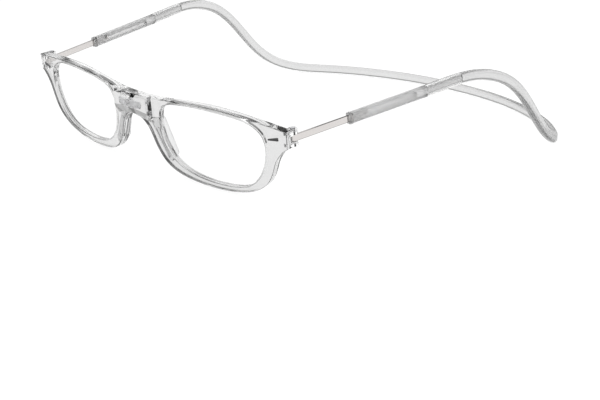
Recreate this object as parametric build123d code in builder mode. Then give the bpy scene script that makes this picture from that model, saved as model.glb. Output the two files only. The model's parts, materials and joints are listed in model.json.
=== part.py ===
"""Clear reading glasses that open at a magnet in the bridge, with a stiff headband behind.

Sizes are in millimetres. The pieces are built in the glasses' own upright frame: X across, +X on the
wearer's left, Y from the face towards the back of the head, Z up. The seam of the bridge is at x = 0,
the front of the bridge is at y = 0 and the brow line, level with the corners of the front, is at z = 0.
Each finished piece is then laid down as the glasses rest on a table: the front leans forward, the two
rims and the back of the headband touch z = 0, and the origin is the middle of the floor area.
"""

from build123d import *
from math import cos, radians, sin, tan
import os

os.makedirs("parts", exist_ok=True)

# Whole object
overall_depth = 200.0
face_form_angle = 7.6
rest_lean = 10.5

# Front: plates, lens openings and bridge, with widths measured along the plate
plate_depth = 3.2
nasal_margin = 12.31
opening_width = 45.6
end_margin = 9.18
brow_rise = 2.5
top_rim_width = 1.3
opening_height = 26.0
lower_rim_width = 2.2
plate_edge_radius = 0.5
opening_edge_radius = 0.3
seam_clearance = 0.1
bridge_proud = 2.1
bridge_half_length = 9.4
bridge_top = 2.1
bridge_front_drop = 2.1
bridge_end_front_drop = 4.0
bridge_end_drop = 8.0
bridge_edge_radius = 1.4

# Lens
lens_thickness = 1.4
lens_front_radius = 480.0
lens_back_radius = 620.0
lens_setback = 0.4
groove_depth = 0.4
groove_clearance = 0.03

# Bridge magnet
magnet_diameter = 2.6
magnet_length = 5.0
magnet_setback = 2.1
magnet_drop = 1.7
magnet_clearance = 0.03
magnet_recess = 0.05

# Nose pad
pad_length = 16.5
pad_base_width = 2.8
pad_tip_length = 13.5
pad_tip_width = 1.6
pad_height = 2.4
pad_splay = 1.4
pad_inset = 0.9
pad_below_centre = 2.2
pad_turn = 64.0
pad_tip_turn = 71.0
pad_edge_radius = 0.5
pad_root_length = 9.0
pad_root_width = 1.2
pad_root_depth = 0.6
pad_root_clearance = 0.03

# Inlay on each end of the front
inlay_length = 4.2
inlay_height = 1.15
inlay_edge_radius = 0.15
inlay_depth = 0.6
inlay_proud = 0.1
inlay_inset = 5.55
inlay_drop = 3.4
inlay_turn = 11.0
inlay_clearance = 0.03

# Hinge
pin_radius = 0.5
pin_head_radius = 0.85
pin_head_height = 0.3
pin_fit = 0.01
eye_radius = 0.95
eye_running_clearance = 0.05
eye_side_clearance = 0.06
eye_plate_clearance = 0.5
ear_radius = 1.5
ear_top_drop = 0.3
ear_gap_top_drop = 2.0
ear_gap_height = 2.8
lower_ear_height = 1.2

# Temple bar and its detent stud
bar_thickness = 0.7
bar_height = 2.3
bar_toe_angle = 7.4
bar_dip_angle = 1.2
bar_exposed = 22.8
bar_tail = 1.3
stud_radius = 0.55
stud_head_length = 0.8
stud_shank_radius = 0.3
stud_fit = 0.01

# Adjuster sleeve and its end cap
sleeve_length = 33.8
sleeve_front_width = 2.7
sleeve_front_height = 3.8
sleeve_front_radius = 0.9
channel_clearance = 0.08
channel_end_room = 2.8
notch_count = 5
notch_pitch = 4.8
notch_radius = 0.85
first_notch = 5.7
slot_clearance = 0.06
slot_overrun = 3.2
cap_length = 0.8
cap_proud = 0.1

# Headband
band_width = 3.0
band_height = 4.0
band_edge_radius = 1.2
band_half_width = 79.0
band_crest = 37.2
band_stations = 28
spigot_width = 1.6
spigot_height = 2.4
spigot_radius = 0.6
spigot_length = 16.6
spigot_stations = 6
socket_clearance = 0.05
socket_overrun = 0.4

# One overrun serves every cut that has to pass a face
overrun = 1.0

# Lens opening, as shares of its half width and half height about its centre, anticlockwise
opening_outline_shares = [
    (0.996, 0.31),
    (0.91, -0.31),
    (0.665, -0.80),
    (0.225, -0.99),
    (-0.30, -0.955),
    (-0.715, -0.69),
    (-0.95, -0.17),
    (-1.0, 0.37),
    (-0.935, 0.785),
    (-0.67, 0.955),
    (-0.12, 1.0),
    (0.45, 0.965),
    (0.80, 0.84),
    (0.955, 0.615),
]

# Outer outline: the first share runs from 0 to 1 over the nasal margin, from 1 to 2 over the opening
# and from 2 to 3 over the end margin, and the second is of the brow's rise or the front's drop
brow_shares = [(0.0, 0.76), (1.024, 0.60), (1.436, 1.0), (1.819, 0.72), (3.0, 0.0)]
underside_shares = [
    (2.985, -0.222),
    (2.730, -0.285),
    (2.452, -0.41),
    (2.291, -0.545),
    (2.064, -0.702),
    (1.892, -0.874),
    (1.701, -0.972),
    (1.480, -1.0),
    (1.260, -0.968),
    (1.064, -0.86),
    (0.850, -0.68),
    (0.599, -0.43),
    (0.360, -0.28),
    (0.000, -0.222),
]

# Inlay's outline, as shares of its length and height: it tapers towards the lens
inlay_shares = [(-0.5, -0.2), (-0.5, 0.2), (0.5, 0.5), (0.5, -0.5)]

# Headband's line on the table: shares of its half width, of the y of its back and of its crest,
# which is counted from where the band lies on the table
band_route_shares = [
    (0.962, -0.056, 1.0),
    (0.992, 0.133, 0.906),
    (1.0, 0.287, 0.608),
    (0.989, 0.431, 0.256),
    (0.938, 0.590, 0.040),
    (0.789, 0.748, 0.0),
    (0.563, 0.883, 0.0),
    (0.291, 0.973, 0.0),
    (0.0, 1.0, 0.0),
]

# Places that follow from the sizes above
lean = radians(rest_lean)
form = radians(face_form_angle)
toe = radians(bar_toe_angle)
dip = radians(bar_dip_angle)

plate_length = nasal_margin + opening_width + end_margin
half_front_width = plate_length * cos(form)
opening_top = brow_rise - top_rim_width
opening_centre = Vector(nasal_margin + opening_width / 2, opening_top - opening_height / 2)
front_drop = opening_height - opening_top + lower_rim_width

plate_along = Vector(cos(form), sin(form), 0)
plate_forward = Vector(sin(form), -cos(form), 0)
plate_plane = Plane(origin=(0, bridge_proud, 0), x_dir=plate_along, z_dir=plate_forward)


def plate_front_y(x):
    """Where the front face of a plate is, at a distance x from the seam."""
    return bridge_proud + x * tan(form)


def plate_back_y(x):
    """Where the back face of a plate is, at a distance x from the seam."""
    return plate_front_y(x) + plate_depth / cos(form)


def along_plate(share):
    """The distance from the seam along the plate for the first share of an outer outline."""
    nasal_share = min(share, 1)
    opening_share = min(max(share - 1, 0), 1)
    end_share = max(share - 2, 0)
    return nasal_share * nasal_margin + opening_share * opening_width + end_share * end_margin


hinge_x = half_front_width - ear_radius
hinge_y = plate_back_y(hinge_x) + eye_radius + eye_plate_clearance
ear_root = hinge_y - plate_back_y(hinge_x) + plate_depth / 2
ears = [
    (ear_top_drop, ear_gap_top_drop - ear_top_drop),
    (ear_gap_top_drop + ear_gap_height, lower_ear_height),
]
pin_length = ear_gap_top_drop + ear_gap_height + lower_ear_height - ear_top_drop
eye_height = ear_gap_height - 2 * eye_side_clearance
bar_drop = ear_gap_top_drop + ear_gap_height / 2
inlay_centre = (plate_length - inlay_inset, -inlay_drop)
inlay_plane = Plane(plate_plane.location * Location(inlay_centre) * Location((0, 0, 0), (0, 0, inlay_turn)))
hinge_centre = Vector(hinge_x, hinge_y, -bar_drop)

bar_along = Vector(sin(toe) * cos(dip), cos(toe) * cos(dip), -sin(dip))
bar_inward = Vector(-cos(toe), sin(toe), 0)
strip_start = hinge_centre - bar_inward * (eye_radius - bar_thickness / 2)
sleeve_front = bar_exposed + cap_length
sleeve_back = sleeve_front + sleeve_length
rest_notch = sleeve_front + first_notch
bar_length = rest_notch + bar_tail
travel = notch_pitch * (notch_count - 1)
slot_length = travel + slot_overrun
channel_width = bar_thickness + 2 * channel_clearance
channel_height = bar_height + 2 * channel_clearance
channel_length = first_notch + bar_tail + travel + channel_end_room

rim_low_x = along_plate(underside_shares[7][0]) * cos(form)
rest_y = bridge_top * sin(lean) - overall_depth / 2
rest_z = front_drop * cos(lean) - plate_front_y(rim_low_x) * sin(lean)
laid_down = Location((0, rest_y, rest_z), (rest_lean, 0, 0))
table_up = Vector(0, sin(lean), cos(lean))


def from_table(x, y, z):
    """A point given on the table, in the glasses' upright frame."""
    y_off = y - rest_y
    z_off = z - rest_z
    return Vector(x, y_off * cos(lean) + z_off * sin(lean), z_off * cos(lean) - y_off * sin(lean))


def bar_plane(distance):
    """The plane across the bar at a distance behind the hinge pin: its x is inward, its y is up."""
    return Plane(origin=strip_start + bar_along * distance, x_dir=bar_inward, z_dir=bar_along)


def inner_plane(distance, rise):
    """The plane that faces the head, at a distance behind the pin and a rise from the bar's middle."""
    origin = strip_start + bar_along * distance + bar_inward * rise
    return Plane(origin=origin, x_dir=bar_along, z_dir=bar_inward)


def opening_points(growth):
    """The points of the lens opening on the plate's plane, with its half sizes grown."""
    half_width = opening_width / 2 + growth
    half_height = opening_height / 2 + growth
    return [
        opening_centre + Vector(share_x * half_width, share_z * half_height)
        for share_x, share_z in opening_outline_shares
    ]


def inlay_points(growth):
    """The corners of the inlay on its own plane, with its sizes grown all round."""
    length = inlay_length + 2 * growth
    height = inlay_height + 2 * growth
    return [(share_x * length, share_y * height) for share_x, share_y in inlay_shares]


def outline_points(shares, height):
    """Points of the front's outer outline on the plate's plane."""
    return [(along_plate(share_x), share_z * height) for share_x, share_z in shares]


# Headband's centre line, from the back of the left sleeve round to the back of the right one
back_y = overall_depth / 2 - band_width / 2
lying_z = band_height / 2
joint_point = strip_start + bar_along * sleeve_back
route_points = [joint_point] + [
    from_table(
        share_x * band_half_width,
        share_y * back_y,
        lying_z + share_z * (band_crest - lying_z),
    )
    for share_x, share_y, share_z in band_route_shares
]
right_points = [Vector(-point.X, point.Y, point.Z) for point in reversed(route_points[:-1])]
bar_mirrored = Vector(bar_along.X, -bar_along.Y, -bar_along.Z)
with BuildLine() as band_route:
    Spline(*route_points, *right_points, tangents=[bar_along, bar_mirrored])
band_line = band_route.wire()
half_band_length = band_line.length / 2


def band_plane(distance):
    """The plane across the headband, upright on the table, at a distance along its centre line."""
    share = distance / band_line.length
    along = band_line % share
    across = table_up.cross(along).normalized()
    return Plane(origin=band_line @ share, x_dir=across, z_dir=along)


def lay_down(piece, label):
    """Turns a finished piece to its place on the table, names it and writes it."""
    piece.part = piece.part.moved(laid_down)
    piece.part.label = label
    export_step(piece.part, f"parts/{label}.step")


def hand_in_pair(piece, name):
    """Writes a left piece and its mirror image, the right one."""
    with BuildPart() as right_piece:
        add(mirror(piece.part, about=Plane.YZ, mode=Mode.PRIVATE))
    lay_down(piece, f"left_{name}")
    lay_down(right_piece, f"right_{name}")


def ball_place(depth, radius):
    """The centre of a spherical lens surface, which passes through the lens's axis at a depth."""
    centre = plate_plane.from_local_coords((opening_centre.X, opening_centre.Y, -depth - radius))
    return Plane(origin=centre, x_dir=-plate_forward, z_dir=(0, 0, 1))


def lens_blank(growth, extra):
    """A lens: the opening's outline, grown, between two spherical surfaces. It also cuts the groove."""
    with BuildPart() as blank:
        with BuildSketch(plate_plane):
            with BuildLine():
                Spline(*opening_points(growth), periodic=True)
            make_face()
        extrude(amount=-lens_thickness - plate_depth)
        with Locations(ball_place(lens_setback - extra, lens_front_radius)):
            Sphere(lens_front_radius, mode=Mode.INTERSECT)
        with Locations(ball_place(lens_setback + lens_thickness + extra, lens_back_radius)):
            Sphere(lens_back_radius, mode=Mode.SUBTRACT)
    return blank


# Left lens, and the tool that cuts its groove in the rim
lens = lens_blank(groove_depth, 0)
groove = lens_blank(groove_depth + groove_clearance, groove_clearance)


def block_plane(distance):
    """The plane across the bridge block at a distance from the seam: its x is forward, its y is up."""
    origin = plate_plane.origin + plate_along * distance
    return Plane(origin=origin, x_dir=plate_forward, z_dir=-plate_along)


# Bridge block: the housing of the magnet, which stands forward of the plate at the seam
seam_drop = -front_drop * underside_shares[-1][1] - plate_edge_radius
with BuildPart() as bridge_block:
    for distance, front_low, low in (
        (-overrun, bridge_front_drop, seam_drop),
        (bridge_half_length, bridge_end_front_drop, bridge_end_drop),
    ):
        with BuildSketch(block_plane(distance)):
            with BuildLine():
                Polyline(
                    (-plate_edge_radius, bridge_top),
                    (bridge_proud, bridge_top),
                    (bridge_proud, -front_low),
                    (0, -low),
                    (-plate_edge_radius, -low),
                    close=True,
                )
            make_face()
    loft()
    fillet(
        bridge_block.faces().sort_by(Axis.Y)[0].edges().sort_by(Axis.X)[1:],
        radius=bridge_edge_radius,
    )

# Nose pad: a fin on the back of the nasal rim that leans away from the nose
turn = radians(pad_turn)
pad_centre = Vector(nasal_margin - pad_inset, opening_centre.Y - pad_below_centre)
pad_tip = pad_centre + Vector(sin(turn), cos(turn)) * pad_splay
with BuildPart() as nose_pad:
    with BuildSketch(plate_plane.offset(-plate_depth)):
        with Locations(pad_centre):
            SlotOverall(pad_length, pad_base_width, rotation=-pad_turn)
    with BuildSketch(plate_plane.offset(-plate_depth - pad_height)):
        with Locations(pad_tip):
            SlotOverall(pad_tip_length, pad_tip_width, rotation=-pad_tip_turn)
    loft()
    fillet(nose_pad.faces().sort_by(Axis.Y)[-1].edges(), radius=pad_edge_radius)
    with BuildSketch(plate_plane.offset(-plate_depth)):
        with Locations(pad_centre):
            SlotOverall(pad_root_length, pad_root_width, rotation=-pad_turn)
    extrude(amount=pad_root_depth)

# Left rim: plate, bridge block and hinge ears in one clear moulding
with BuildPart() as rim:
    with BuildSketch(plate_plane):
        with BuildLine():
            brow = Spline(*outline_points(brow_shares, brow_rise))
            underside = Spline(*outline_points(underside_shares, front_drop))
            Line(brow @ 1, underside @ 0)
            Line(underside @ 1, brow @ 0)
        make_face()
    extrude(amount=-plate_depth)
    fillet(rim.edges() - rim.edges().group_by(Axis.X)[0], radius=plate_edge_radius)
    with BuildSketch(plate_plane):
        with BuildLine():
            Spline(*opening_points(0), periodic=True)
        make_face()
    extrude(amount=-plate_depth, mode=Mode.SUBTRACT)
    fillet(rim.edges(Select.LAST), radius=opening_edge_radius)
    add(groove.part, mode=Mode.SUBTRACT)
    add(bridge_block.part)
    for ear_drop, ear_height in ears:
        with BuildSketch(Plane.XY.offset(-ear_drop)):
            with Locations((hinge_x, hinge_y)):
                Circle(ear_radius)
                Rectangle(2 * ear_radius, ear_root, align=(Align.CENTER, Align.MAX))
        extrude(amount=-ear_height)
    with BuildSketch(Plane.XY.offset(-ear_top_drop)):
        with Locations((hinge_x, hinge_y)):
            Circle(pin_radius + pin_fit)
    extrude(amount=-pin_length, mode=Mode.SUBTRACT)
    split(bisect_by=Plane.YZ.offset(seam_clearance / 2), keep=Keep.TOP)
    with BuildSketch(Plane.YZ.offset(seam_clearance / 2)):
        with Locations((magnet_setback, -magnet_drop)):
            Circle(magnet_diameter / 2 + magnet_clearance)
    extrude(amount=magnet_recess + magnet_length, mode=Mode.SUBTRACT)
    with BuildSketch(inlay_plane) as inlay_pocket:
        with BuildLine():
            Polyline(*inlay_points(inlay_clearance), close=True)
        make_face()
        fillet(inlay_pocket.vertices(), radius=inlay_edge_radius)
    extrude(amount=-inlay_depth, mode=Mode.SUBTRACT)
    with BuildSketch(plate_plane.offset(-plate_depth)):
        with Locations(pad_centre):
            SlotOverall(
                pad_root_length + 2 * pad_root_clearance,
                pad_root_width + 2 * pad_root_clearance,
                rotation=-pad_turn,
            )
    extrude(amount=pad_root_depth, mode=Mode.SUBTRACT)

# Magnet of the left half, just inside the seam
with BuildPart() as magnet:
    with BuildSketch(Plane.YZ.offset(seam_clearance / 2 + magnet_recess)):
        with Locations((magnet_setback, -magnet_drop)):
            Circle(magnet_diameter / 2)
    extrude(amount=magnet_length)

# Dark inlay in the front face near the hinge
with BuildPart() as inlay:
    with BuildSketch(inlay_plane.offset(-inlay_depth)) as inlay_outline:
        with BuildLine():
            Polyline(*inlay_points(0), close=True)
        make_face()
        fillet(inlay_outline.vertices(), radius=inlay_edge_radius)
    extrude(amount=inlay_depth + inlay_proud)

# Hinge pin with a low round head on the upper ear
with BuildPart() as hinge_pin:
    with BuildSketch(Plane.XY.offset(-ear_top_drop)):
        with Locations((hinge_x, hinge_y)):
            Circle(pin_radius)
    extrude(amount=-pin_length)
    with BuildSketch(Plane.XY.offset(-ear_top_drop)):
        with Locations((hinge_x, hinge_y)):
            Circle(pin_head_radius)
    extrude(amount=pin_head_height)

# Temple bar: a flat strip with an eye round the pin, drilled for the detent stud
with BuildPart() as temple_bar:
    with BuildSketch(bar_plane(0)):
        Rectangle(bar_thickness, bar_height)
    extrude(amount=bar_length)
    with BuildSketch(Plane.XY.offset(-bar_drop - eye_height / 2)):
        with Locations((hinge_x, hinge_y)):
            Circle(eye_radius)
    extrude(amount=eye_height)
    with BuildSketch(Plane.XY.offset(-bar_drop - eye_height / 2)):
        with Locations((hinge_x, hinge_y)):
            Circle(pin_radius + eye_running_clearance)
    extrude(amount=eye_height, mode=Mode.SUBTRACT)
    with BuildSketch(inner_plane(rest_notch, -bar_thickness / 2)):
        Circle(stud_shank_radius + stud_fit)
    extrude(amount=bar_thickness, mode=Mode.SUBTRACT)

# Detent stud: a round head in the sleeve's slot on a shank through the bar
with BuildPart() as bar_stud:
    with BuildSketch(inner_plane(rest_notch, -bar_thickness / 2)):
        Circle(stud_shank_radius)
    extrude(amount=bar_thickness)
    with BuildSketch(inner_plane(rest_notch, bar_thickness / 2)):
        Circle(stud_radius)
    extrude(amount=stud_head_length)

# Sleeve: a tapering clear tube for the bar, notched on its inner side, with a spigot for the band
with BuildPart() as sleeve:
    with BuildSketch(bar_plane(sleeve_front)):
        RectangleRounded(sleeve_front_width, sleeve_front_height, sleeve_front_radius)
    with BuildSketch(band_plane(0)):
        RectangleRounded(band_width, band_height, band_edge_radius)
    loft()
    with BuildSketch(bar_plane(sleeve_front)):
        Rectangle(channel_width, channel_height)
    extrude(amount=channel_length, mode=Mode.SUBTRACT)
    with BuildSketch(inner_plane(rest_notch, 0)):
        with Locations((slot_length / 2, 0)):
            SlotCenterToCenter(slot_length, 2 * (stud_radius + slot_clearance))
        for notch in range(notch_count):
            with Locations((notch * notch_pitch, 0)):
                Circle(notch_radius)
    extrude(amount=band_width, mode=Mode.SUBTRACT)
    for station in range(spigot_stations + 1):
        with BuildSketch(band_plane(station * spigot_length / spigot_stations)):
            RectangleRounded(spigot_width, spigot_height, spigot_radius)
    loft()

# End cap on the sleeve's mouth, which the bar runs through
with BuildPart() as sleeve_cap:
    with BuildSketch(bar_plane(bar_exposed)):
        RectangleRounded(
            sleeve_front_width + 2 * cap_proud,
            sleeve_front_height + 2 * cap_proud,
            sleeve_front_radius + cap_proud,
        )
        Rectangle(channel_width, channel_height, mode=Mode.SUBTRACT)
    extrude(amount=cap_length)

# Headband: one stiff oval rod from sleeve to sleeve, with a socket in each end
with BuildPart() as headband:
    for station in range(band_stations + 1):
        with BuildSketch(band_plane(station * (half_band_length + overrun) / band_stations)):
            RectangleRounded(band_width, band_height, band_edge_radius)
    loft()
    split(bisect_by=Plane.YZ, keep=Keep.TOP)
    for station in range(spigot_stations + 1):
        with BuildSketch(band_plane(station * (spigot_length + socket_overrun) / spigot_stations)):
            RectangleRounded(
                spigot_width + 2 * socket_clearance,
                spigot_height + 2 * socket_clearance,
                spigot_radius + socket_clearance,
            )
    loft(mode=Mode.SUBTRACT)
    mirror(about=Plane.YZ)
lay_down(headband, "headband")

hand_in_pair(rim, "rim")
hand_in_pair(lens, "lens")
hand_in_pair(magnet, "magnet")
hand_in_pair(nose_pad, "nose_pad")
hand_in_pair(inlay, "inlay")
hand_in_pair(hinge_pin, "hinge_pin")
hand_in_pair(temple_bar, "temple_bar")
hand_in_pair(bar_stud, "bar_stud")
hand_in_pair(sleeve, "sleeve")
hand_in_pair(sleeve_cap, "sleeve_cap")
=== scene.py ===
"""Looks of the clear magnetic-bridge reading glasses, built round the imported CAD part.

Everything is in metres in the part's own frame: +X on the wearer's left, +Y from the front of the
glasses towards the back of the headband, +Z up, with the table at z = 0.
"""

import json
import math

import bpy
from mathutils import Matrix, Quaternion, Vector


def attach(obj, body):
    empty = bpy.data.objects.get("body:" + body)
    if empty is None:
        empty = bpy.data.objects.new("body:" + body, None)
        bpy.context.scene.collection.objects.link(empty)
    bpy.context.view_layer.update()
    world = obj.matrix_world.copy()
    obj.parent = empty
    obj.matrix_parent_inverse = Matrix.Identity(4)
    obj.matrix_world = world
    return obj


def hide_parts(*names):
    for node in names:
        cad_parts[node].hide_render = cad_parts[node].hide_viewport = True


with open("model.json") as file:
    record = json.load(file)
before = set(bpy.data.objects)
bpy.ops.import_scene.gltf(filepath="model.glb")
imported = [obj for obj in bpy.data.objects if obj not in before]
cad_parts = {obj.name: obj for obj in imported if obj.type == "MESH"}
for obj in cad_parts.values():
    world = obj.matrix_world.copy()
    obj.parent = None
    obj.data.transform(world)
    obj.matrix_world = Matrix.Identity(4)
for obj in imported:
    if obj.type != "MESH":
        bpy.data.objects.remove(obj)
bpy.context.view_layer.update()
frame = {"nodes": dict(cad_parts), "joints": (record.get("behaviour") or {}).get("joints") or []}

MM = 0.001
SIDES = ("left", "right")
JOINTS = {joint["name"]: joint for joint in frame["joints"]}
UP = Vector((0.0, 0.0, 1.0))
WHITE = (1.0, 1.0, 1.0, 1.0)

# Camera, where the photograph's stood
CAMERA_PLACE_MM = (319.67, -354.25, 131.33)
CAMERA_AZIMUTH = math.radians(42.755)
CAMERA_ELEVATION = math.radians(18.935)
CAMERA_ROLL = math.radians(3.60)
CAMERA_LENS_MM = 72.76
SENSOR_WIDTH_MM = 36.0
CLIP_START = 0.01
CLIP_END = 20.0

# Table top
FLOOR_RADIUS = 3.0
FLOOR_SIDES = 96
FLOOR_DROP = 0.00002
FLOOR_COLOUR = (0.10, 0.10, 0.10, 1.0)
FLOOR_ROUGHNESS = 0.9
FLOOR_GLOW = 0.88

# Room: tones are shares of white. Bottoms and tops are sines of the elevation, and the two edges are
# cosines of the angle to the camera's side.
HORIZON_TONE = 0.22
HORIZON_BOTTOM = 0.27
HORIZON_TOP = 0.41
CEILING_TONE = 0.10
CEILING_BOTTOM = 0.56
CEILING_TOP = 0.64
BACK_TONE = 2.0
BACK_EDGE = -0.95
FRONT_TONE = 0.15
FRONT_EDGE = 0.3
MATT_TONE = 2.0
SOFTBOX_SIZE = 1.2
SOFTBOX_WATTS = 0.8
SOFTBOX_PLACE = (-0.45, 0.55, 1.1)

# Bonded pieces: their slot, and how far their surface is pushed into the plastic they are bonded to
BONDED = {
    "magnet": ("magnet", 0.00006),
    "nose_pad": ("pad_plastic", 0.00004),
}
WELD_DISTANCE = 0.000002
SHARP_ANGLE = math.radians(40.0)

# Plastics
PLASTIC_IOR = 1.49
PAD_IOR = 1.18
LENS_IOR = 1.50
ABSORPTION_COLOUR = (0.5, 0.5, 0.5, 1.0)
FLOW_SCALE = 120.0
FLOW_DETAIL = 3.0
RIPPLE = 0.1
RIPPLE_HEIGHT = 0.0001

# Metals: how fine their drawn or plated grain is
DRAWN_GRAIN = 900.0
PLATED_GRAIN = 400.0
METAL_RIPPLE = 0.05
PLATING_METALLIC = 0.2

# Temple bar: its height, how far the painted shade reaches in at its top and bottom edges, and where
# the painted light on its tail starts behind the hinge
BAR_HEIGHT = 0.0023
EDGE_SHADE_REACH = 0.0001
EDGE_SHADE_COLOUR = (0.20, 0.19, 0.185, 1.0)
TAIL_START = 0.0238
TAIL_PAINTED_LIGHT_COLOUR = (1.0, 0.99, 0.985, 1.0)

# Sleeve: where its spigot starts behind the hinge
SPIGOT_START = 0.0574
SPIGOT_ROUGHNESS = 0.08


def moulding_group():
    """Shader nodes that every piece shares: faint flow marks in the colour, gloss and surface."""
    group = bpy.data.node_groups.new("moulding_flow", "ShaderNodeTree")
    made = group.interface.new_socket
    for name, kind, value in (
        ("Light colour", "NodeSocketColor", WHITE),
        ("Dark colour", "NodeSocketColor", WHITE),
        ("Flow scale", "NodeSocketFloat", FLOW_SCALE),
        ("Least roughness", "NodeSocketFloat", 0.0),
        ("Most roughness", "NodeSocketFloat", 1.0),
        ("Ripple", "NodeSocketFloat", RIPPLE),
    ):
        made(name, in_out="INPUT", socket_type=kind).default_value = value
    for name, kind in (
        ("Colour", "NodeSocketColor"),
        ("Roughness", "NodeSocketFloat"),
        ("Normal", "NodeSocketVector"),
    ):
        made(name, in_out="OUTPUT", socket_type=kind)
    nodes, links = group.nodes, group.links
    inlet = nodes.new("NodeGroupInput")
    outlet = nodes.new("NodeGroupOutput")
    place = nodes.new("ShaderNodeTexCoord")
    flow = nodes.new("ShaderNodeTexNoise")
    flow.inputs["Detail"].default_value = FLOW_DETAIL
    links.new(place.outputs["Object"], flow.inputs["Vector"])
    links.new(inlet.outputs["Flow scale"], flow.inputs["Scale"])
    tint = nodes.new("ShaderNodeMix")
    tint.data_type = "RGBA"
    links.new(flow.outputs["Fac"], tint.inputs["Factor"])
    links.new(inlet.outputs["Light colour"], tint.inputs["A"])
    links.new(inlet.outputs["Dark colour"], tint.inputs["B"])
    gloss = nodes.new("ShaderNodeMapRange")
    links.new(flow.outputs["Fac"], gloss.inputs["Value"])
    links.new(inlet.outputs["Least roughness"], gloss.inputs["To Min"])
    links.new(inlet.outputs["Most roughness"], gloss.inputs["To Max"])
    ripple = nodes.new("ShaderNodeBump")
    ripple.inputs["Distance"].default_value = RIPPLE_HEIGHT
    links.new(inlet.outputs["Ripple"], ripple.inputs["Strength"])
    links.new(flow.outputs["Fac"], ripple.inputs["Height"])
    links.new(tint.outputs["Result"], outlet.inputs["Colour"])
    links.new(gloss.outputs["Result"], outlet.inputs["Roughness"])
    links.new(ripple.outputs["Normal"], outlet.inputs["Normal"])
    return group


MOULDING = moulding_group()


def new_material(name):
    """An empty node material and its Principled shader."""
    material = bpy.data.materials.new(name)
    material.use_nodes = True
    return material, material.node_tree.nodes["Principled BSDF"]


def surfaced(name, light, dark, roughness, ripple=RIPPLE, flow=FLOW_SCALE):
    """A material with flow marks between two colours and two roughnesses, and its shader."""
    material, shader = new_material(name)
    links = material.node_tree.links
    surface = material.node_tree.nodes.new("ShaderNodeGroup")
    surface.node_tree = MOULDING
    for socket, value in (
        ("Light colour", (*light, 1.0)),
        ("Dark colour", (*dark, 1.0)),
        ("Flow scale", flow),
        ("Least roughness", roughness[0]),
        ("Most roughness", roughness[1]),
        ("Ripple", ripple),
    ):
        surface.inputs[socket].default_value = value
    links.new(surface.outputs["Colour"], shader.inputs["Base Color"])
    links.new(surface.outputs["Roughness"], shader.inputs["Roughness"])
    links.new(surface.outputs["Normal"], shader.inputs["Normal"])
    return material, shader


def clear_moulding(name, tones, roughness, ripple, density=0.0, ior=PLASTIC_IOR):
    """A see-through moulded plastic. With a density it also gets greyer with its depth."""
    light, dark = tones
    material, shader = surfaced(name, (light,) * 3, (dark,) * 3, roughness, ripple)
    shader.inputs["Transmission Weight"].default_value = 1.0
    shader.inputs["IOR"].default_value = ior
    if density:
        nodes, links = material.node_tree.nodes, material.node_tree.links
        inside = nodes.new("ShaderNodeVolumeAbsorption")
        inside.inputs["Color"].default_value = ABSORPTION_COLOUR
        inside.inputs["Density"].default_value = density
        links.new(inside.outputs["Volume"], nodes["Material Output"].inputs["Volume"])
    return material


def metal(name, light, dark, roughness, grain=DRAWN_GRAIN, metallic=1.0):
    """A metal with a fine grain."""
    material, shader = surfaced(name, light, dark, roughness, METAL_RIPPLE, grain)
    shader.inputs["Metallic"].default_value = metallic
    return material


def side_axes(side):
    """The hinge's place on one side, the way its bar runs back and the way up across the bar."""
    hinge = Vector(JOINTS[f"{side}_front_hinge"]["pos_m"])
    along = Vector(JOINTS[f"{side}_temple_slide"]["axis"])
    up = along.cross(UP.cross(along)).normalized()
    return hinge, along, up


def paint(material, start, direction, operation, distance, value, socket="Base Color"):
    """Puts a colour or roughness over a material's own, past a distance from a start."""
    nodes, links = material.node_tree.nodes, material.node_tree.links
    shader = nodes["Principled BSDF"]
    place = nodes.new("ShaderNodeTexCoord")
    reach = nodes.new("ShaderNodeVectorMath")
    reach.operation = "DOT_PRODUCT"
    reach.inputs[1].default_value = direction
    links.new(place.outputs["Object"], reach.inputs[0])
    past = nodes.new("ShaderNodeMath")
    past.operation = operation
    past.inputs[1].default_value = start.dot(direction) + distance
    links.new(reach.outputs["Value"], past.inputs[0])
    layer = nodes.new("ShaderNodeMix")
    layer.data_type = "RGBA" if socket == "Base Color" else "FLOAT"
    links.new(past.outputs["Value"], layer.inputs["Factor"])
    links.new(shader.inputs[socket].links[0].from_socket, layer.inputs["A"])
    layer.inputs["B"].default_value = value
    links.new(layer.outputs["Result"], shader.inputs[socket])


def bar_steel_with_painted_shade_and_light(side):
    """The bar's steel, with painted shade on its two narrow faces and painted light on the tail in
    the sleeve.
    """
    hinge, along, up = side_axes(side)
    edge = BAR_HEIGHT / 2 - EDGE_SHADE_REACH
    material = metal(
        f"{side}_bar_steel_with_painted_shade_and_light", (0.71, 0.685, 0.67), (0.66, 0.635, 0.62), (0.10, 0.18)
    )
    # Painted shade: the top and bottom narrow faces, and a thin strip of the broad faces along them,
    # are painted dark.
    paint(material, hinge, up, "GREATER_THAN", edge, EDGE_SHADE_COLOUR)
    paint(material, hinge, up, "LESS_THAN", -edge, EDGE_SHADE_COLOUR)
    # Painted light: the tail inside the sleeve is painted nearly white, brighter than the same steel
    # outside it.
    paint(material, hinge, along, "GREATER_THAN", TAIL_START, TAIL_PAINTED_LIGHT_COLOUR)
    return material


def sleeve_plastic(side):
    """The sleeve's satin plastic, clear and glossy on the spigot that goes into the headband."""
    hinge, along, _ = side_axes(side)
    material = clear_moulding(
        f"{side}_sleeve_plastic", (0.90, 0.87), (0.45, 0.60), 0.1, density=40.0
    )
    paint(material, hinge, along, "GREATER_THAN", SPIGOT_START, WHITE)
    paint(material, hinge, along, "GREATER_THAN", SPIGOT_START, SPIGOT_ROUGHNESS, "Roughness")
    return material


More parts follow.
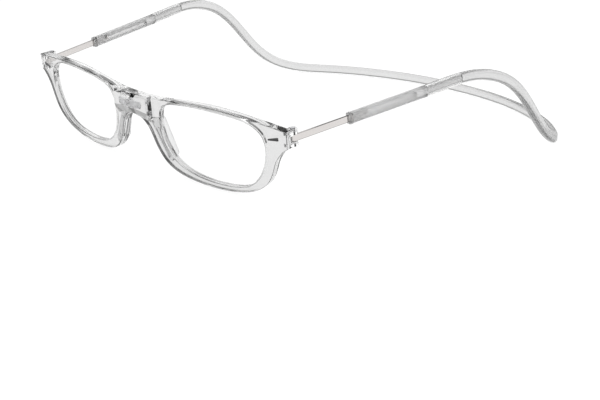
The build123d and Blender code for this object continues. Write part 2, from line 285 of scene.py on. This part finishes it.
FINISHES = {
    "rim": clear_moulding("clear_plastic", (0.74, 0.71), (0.01, 0.03), 0.05),
    "nose_pad": clear_moulding(
        "pad_plastic", (0.84, 0.81), (0.30, 0.42), 0.05, density=30.0, ior=PAD_IOR
    ),
    "sleeve_cap": clear_moulding("cap_plastic", (0.98, 0.95), (0.25, 0.35), 0.1, density=20.0),
    "lens": clear_moulding("clear_lens", (0.995, 0.985), (0.0, 0.01), 0.0, ior=LENS_IOR),
    "bar_stud": metal("stud_steel", (0.60, 0.58, 0.57), (0.48, 0.46, 0.45), (0.25, 0.35)),
    "hinge_pin": metal("pin_steel", (0.35, 0.35, 0.36), (0.20, 0.20, 0.21), (0.15, 0.25)),
    "magnet": metal(
        "magnet_plating",
        (0.96, 0.96, 0.97),
        (0.88, 0.88, 0.89),
        (0.50, 0.60),
        PLATED_GRAIN,
        PLATING_METALLIC,
    ),
    "inlay": surfaced("inlay_black", (0.03, 0.03, 0.032), (0.01, 0.01, 0.011), (0.12, 0.25))[0],
}
BAND = clear_moulding("band_plastic", (0.86, 0.83), (0.16, 0.26), 0.10, density=90.0)


def seating_tree():
    """Geometry nodes that weld a piece's mesh, push it out to touch its seat and finish it."""
    tree = bpy.data.node_groups.new("seating", "GeometryNodeTree")
    made = tree.interface.new_socket
    for name, flow, kind in (
        ("Geometry", "INPUT", "NodeSocketGeometry"),
        ("Weld distance", "INPUT", "NodeSocketFloat"),
        ("Growth", "INPUT", "NodeSocketFloat"),
        ("Finish", "INPUT", "NodeSocketMaterial"),
        ("Geometry", "OUTPUT", "NodeSocketGeometry"),
    ):
        made(name, in_out=flow, socket_type=kind)
    nodes, links = tree.nodes, tree.links
    inlet = nodes.new("NodeGroupInput")
    outlet = nodes.new("NodeGroupOutput")
    weld = nodes.new("GeometryNodeMergeByDistance")
    links.new(inlet.outputs["Geometry"], weld.inputs["Geometry"])
    links.new(inlet.outputs["Weld distance"], weld.inputs["Distance"])
    outwards = nodes.new("GeometryNodeInputNormal")
    push = nodes.new("ShaderNodeVectorMath")
    push.operation = "SCALE"
    links.new(outwards.outputs["Normal"], push.inputs[0])
    links.new(inlet.outputs["Growth"], push.inputs["Scale"])
    seat_place = nodes.new("GeometryNodeSetPosition")
    links.new(weld.outputs["Geometry"], seat_place.inputs["Geometry"])
    links.new(push.outputs["Vector"], seat_place.inputs["Offset"])
    whole = nodes.new("GeometryNodeRealizeInstances")
    links.new(seat_place.outputs["Geometry"], whole.inputs["Geometry"])
    finish = nodes.new("GeometryNodeSetMaterial")
    links.new(whole.outputs["Geometry"], finish.inputs["Geometry"])
    links.new(inlet.outputs["Finish"], finish.inputs["Material"])
    links.new(finish.outputs["Geometry"], outlet.inputs["Geometry"])
    return tree


SEATING = seating_tree()
SEATING_INPUTS = {
    socket.name: socket.identifier
    for socket in SEATING.interface.items_tree
    if socket.in_out == "INPUT"
}


def seat(node, body, growth, material):
    """A bonded piece in place of its CAD node, so that no air shows between it and its seat."""
    piece = bpy.data.objects.new(f"{node}_bonded", frame["nodes"][node].data.copy())
    bpy.context.scene.collection.objects.link(piece)
    seating = piece.modifiers.new("seating", "NODES")
    seating.node_group = SEATING
    seating[SEATING_INPUTS["Weld distance"]] = WELD_DISTANCE
    seating[SEATING_INPUTS["Growth"]] = growth
    seating[SEATING_INPUTS["Finish"]] = material
    seen = piece.evaluated_get(bpy.context.evaluated_depsgraph_get())
    mesh = bpy.data.meshes.new_from_object(seen)
    piece.modifiers.clear()
    piece.data = mesh
    mesh.shade_smooth()
    mesh.set_sharp_from_angle(angle=SHARP_ANGLE)
    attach(piece, body)
    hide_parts(node)


def dress(node, material):
    """Gives a CAD node its finish in place of the plain one that it came with."""
    mesh = frame["nodes"][node].data
    mesh.materials.clear()
    mesh.materials.append(material)
    mesh.shade_smooth()


for side in SIDES:
    for piece, finish in FINISHES.items():
        if piece in BONDED:
            slot, growth = BONDED[piece]
            seat(f"{side}_{piece}", f"{side}_front", growth, finish)
        else:
            dress(f"{side}_{piece}", finish)
    dress(f"{side}_temple_bar", bar_steel_with_painted_shade_and_light(side))
    dress(f"{side}_sleeve", sleeve_plastic(side))
dress("headband", BAND)


def floor():
    """A plain pale table top, just under the glasses."""
    mesh = bpy.data.meshes.new("table_top")
    turn = 2 * math.pi / FLOOR_SIDES
    ring = [
        (FLOOR_RADIUS * math.cos(i * turn), FLOOR_RADIUS * math.sin(i * turn), -FLOOR_DROP)
        for i in range(FLOOR_SIDES)
    ]
    mesh.from_pydata(ring, [], [list(range(FLOOR_SIDES))])
    table_top = bpy.data.objects.new("table_top", mesh)
    bpy.context.scene.collection.objects.link(table_top)
    material, shader = new_material("table_white")
    shader.inputs["Base Color"].default_value = FLOOR_COLOUR
    shader.inputs["Roughness"].default_value = FLOOR_ROUGHNESS
    shader.inputs["Specular IOR Level"].default_value = 0.0
    shader.inputs["Emission Color"].default_value = WHITE
    shader.inputs["Emission Strength"].default_value = FLOOR_GLOW
    mesh.materials.append(material)


def studio():
    """A room lit from its far wall, with a dim ceiling, horizon and wall behind the camera.

    The camera sees it plain white, and surfaces that scatter light are lit evenly by it.
    """
    world = bpy.data.worlds.new("studio")
    bpy.context.scene.world = world
    world.use_nodes = True
    nodes, links = world.node_tree.nodes, world.node_tree.links
    place = nodes.new("ShaderNodeTexCoord")

    def along(direction):
        """How far the light's direction points along the one given."""
        dot = nodes.new("ShaderNodeVectorMath")
        dot.operation = "DOT_PRODUCT"
        links.new(place.outputs["Generated"], dot.inputs[0])
        dot.inputs[1].default_value = direction
        return dot.outputs["Value"]

    def ramp(value, start, end, low, high):
        """A soft step from a low to a high number between two places of a value."""
        step = nodes.new("ShaderNodeMapRange")
        step.interpolation_type = "SMOOTHSTEP"
        links.new(value, step.inputs["Value"])
        for name, number in (
            ("From Min", start),
            ("From Max", end),
            ("To Min", low),
            ("To Max", high),
        ):
            step.inputs[name].default_value = number
        return step.outputs["Result"]

    def combine(operation, first, second):
        """Two values put together by one sum."""
        step = nodes.new("ShaderNodeMath")
        step.operation = operation
        links.new(first, step.inputs[0])
        links.new(second, step.inputs[1])
        return step.outputs["Value"]

    height = along(UP)
    front = along((math.sin(CAMERA_AZIMUTH), -math.cos(CAMERA_AZIMUTH), 0.0))
    walls = ramp(height, HORIZON_BOTTOM, HORIZON_TOP, HORIZON_TONE, 1.0)
    under_ceiling = ramp(height, CEILING_BOTTOM, CEILING_TOP, 1.0, CEILING_TONE)
    around = ramp(front, BACK_EDGE, FRONT_EDGE, BACK_TONE, FRONT_TONE)
    lit = combine("MULTIPLY", combine("MULTIPLY", walls, under_ceiling), around)
    path = nodes.new("ShaderNodeLightPath")
    matt = path.outputs["Diffuse Depth"]
    seen = nodes.new("ShaderNodeMix")
    links.new(combine("MAXIMUM", path.outputs["Is Camera Ray"], matt), seen.inputs["Factor"])
    links.new(lit, seen.inputs["A"])
    links.new(ramp(matt, 0.0, 1.0, 1.0, MATT_TONE), seen.inputs["B"])
    links.new(seen.outputs["Result"], nodes["Background"].inputs["Strength"])
    nodes["Background"].inputs["Color"].default_value = WHITE
    lamp = bpy.data.lights.new("softbox", "AREA")
    lamp.size = SOFTBOX_SIZE
    lamp.energy = SOFTBOX_WATTS
    softbox = bpy.data.objects.new("softbox", lamp)
    softbox.location = SOFTBOX_PLACE
    softbox.rotation_mode = "QUATERNION"
    softbox.rotation_quaternion = Vector(SOFTBOX_PLACE).to_track_quat("Z", "Y")
    bpy.context.scene.collection.objects.link(softbox)


def camera():
    """The camera where the photograph's stood."""
    data = bpy.data.cameras.new("camera")
    data.sensor_width = SENSOR_WIDTH_MM
    data.lens = CAMERA_LENS_MM
    data.clip_start = CLIP_START
    data.clip_end = CLIP_END
    eye = bpy.data.objects.new("camera", data)
    bpy.context.scene.collection.objects.link(eye)
    back = Vector(
        (
            math.sin(CAMERA_AZIMUTH) * math.cos(CAMERA_ELEVATION),
            -math.cos(CAMERA_AZIMUTH) * math.cos(CAMERA_ELEVATION),
            math.sin(CAMERA_ELEVATION),
        )
    )
    level = (-back).to_track_quat("-Z", "Y")
    eye.location = Vector(CAMERA_PLACE_MM) * MM
    eye.rotation_mode = "QUATERNION"
    eye.rotation_quaternion = level @ Quaternion((0, 0, 1), CAMERA_ROLL)
    bpy.context.scene.camera = eye


floor()
studio()
camera()
bpy.context.scene.view_settings.view_transform = "Standard"
